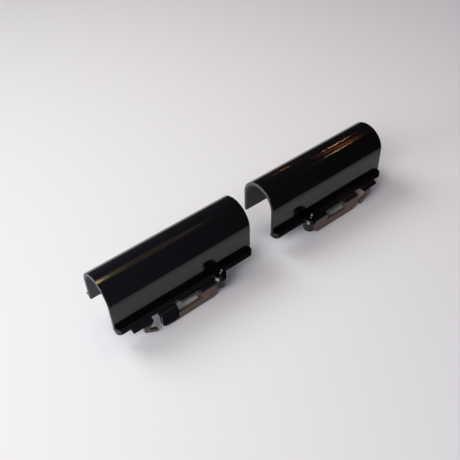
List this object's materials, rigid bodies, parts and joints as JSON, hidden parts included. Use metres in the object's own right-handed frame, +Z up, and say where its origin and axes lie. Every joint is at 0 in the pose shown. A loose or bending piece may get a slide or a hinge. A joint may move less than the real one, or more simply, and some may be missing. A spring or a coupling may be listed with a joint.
{
  "type": "pair of laptop hinge covers",
  "caption": "Arched gloss black plastic covers for laptop hinges, left and right hand, each with a foot flange, a screw boss, a windowed skirt and a hook.",
  "frame": {"origin": "midway between the covers, at the middle of the pair's depth and on the level of its lowest edge, the skirts' lower edges", "axes": "+X along the hinge line, +Y from the flanged front wall to the back wall, +Z up, away from the laptop's base"},
  "size_m": [0.13, 0.0238, 0.0278],
  "materials": {
    "gloss_black_plastic": "high gloss outside, matte inside"
  },
  "bodies": {
    "root": {"left_hinge_cover": "gloss_black_plastic", "right_hinge_cover": "gloss_black_plastic"}
  },
  "joints": []
}
